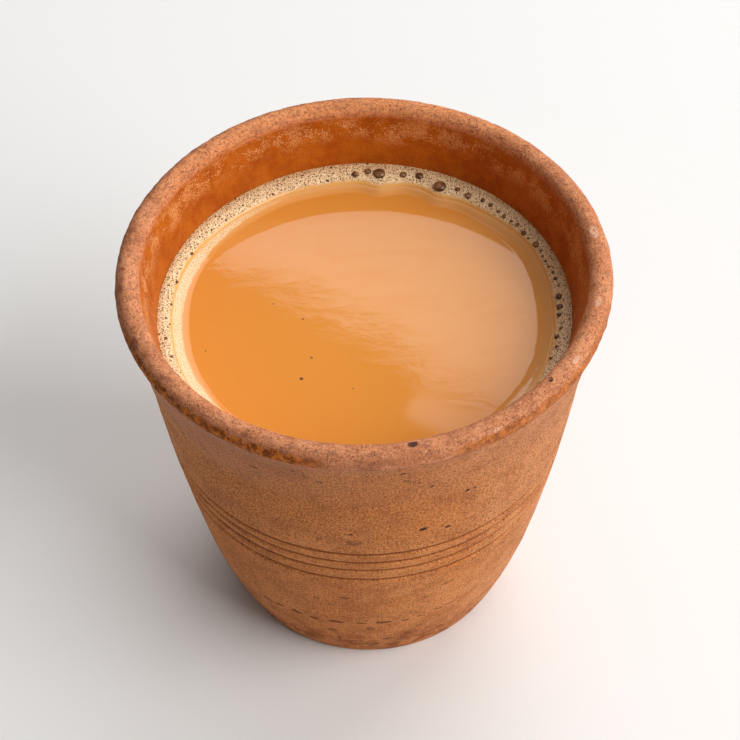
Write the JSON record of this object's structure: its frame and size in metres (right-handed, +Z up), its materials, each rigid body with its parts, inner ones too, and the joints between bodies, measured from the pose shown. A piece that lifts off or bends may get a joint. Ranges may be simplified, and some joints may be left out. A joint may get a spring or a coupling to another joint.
{
  "type": "masala chai",
  "caption": "Milky spiced tea with a ring of froth, served in a thrown terracotta kulhad with a flared wall, a beaded lip and lines turned round its belly.",
  "frame": {"origin": "centre of the cup's foot, on the surface that it stands on", "axes": "+Z up along the cup's axis, +Y towards the side where the froth is widest, +X to the right of a person who looks along +Y"},
  "size_m": [0.08, 0.08, 0.075],
  "materials": {
    "clay": "unglazed terracotta, sandy and matt, damp where the tea has wetted it",
    "tea": "opaque milky tea with a glossy still surface",
    "froth": "fine cream froth with larger bubbles"
  },
  "bodies": {
    "root": {"kulhad": "clay", "chai": "tea", "froth": "froth"}
  },
  "joints": []
}
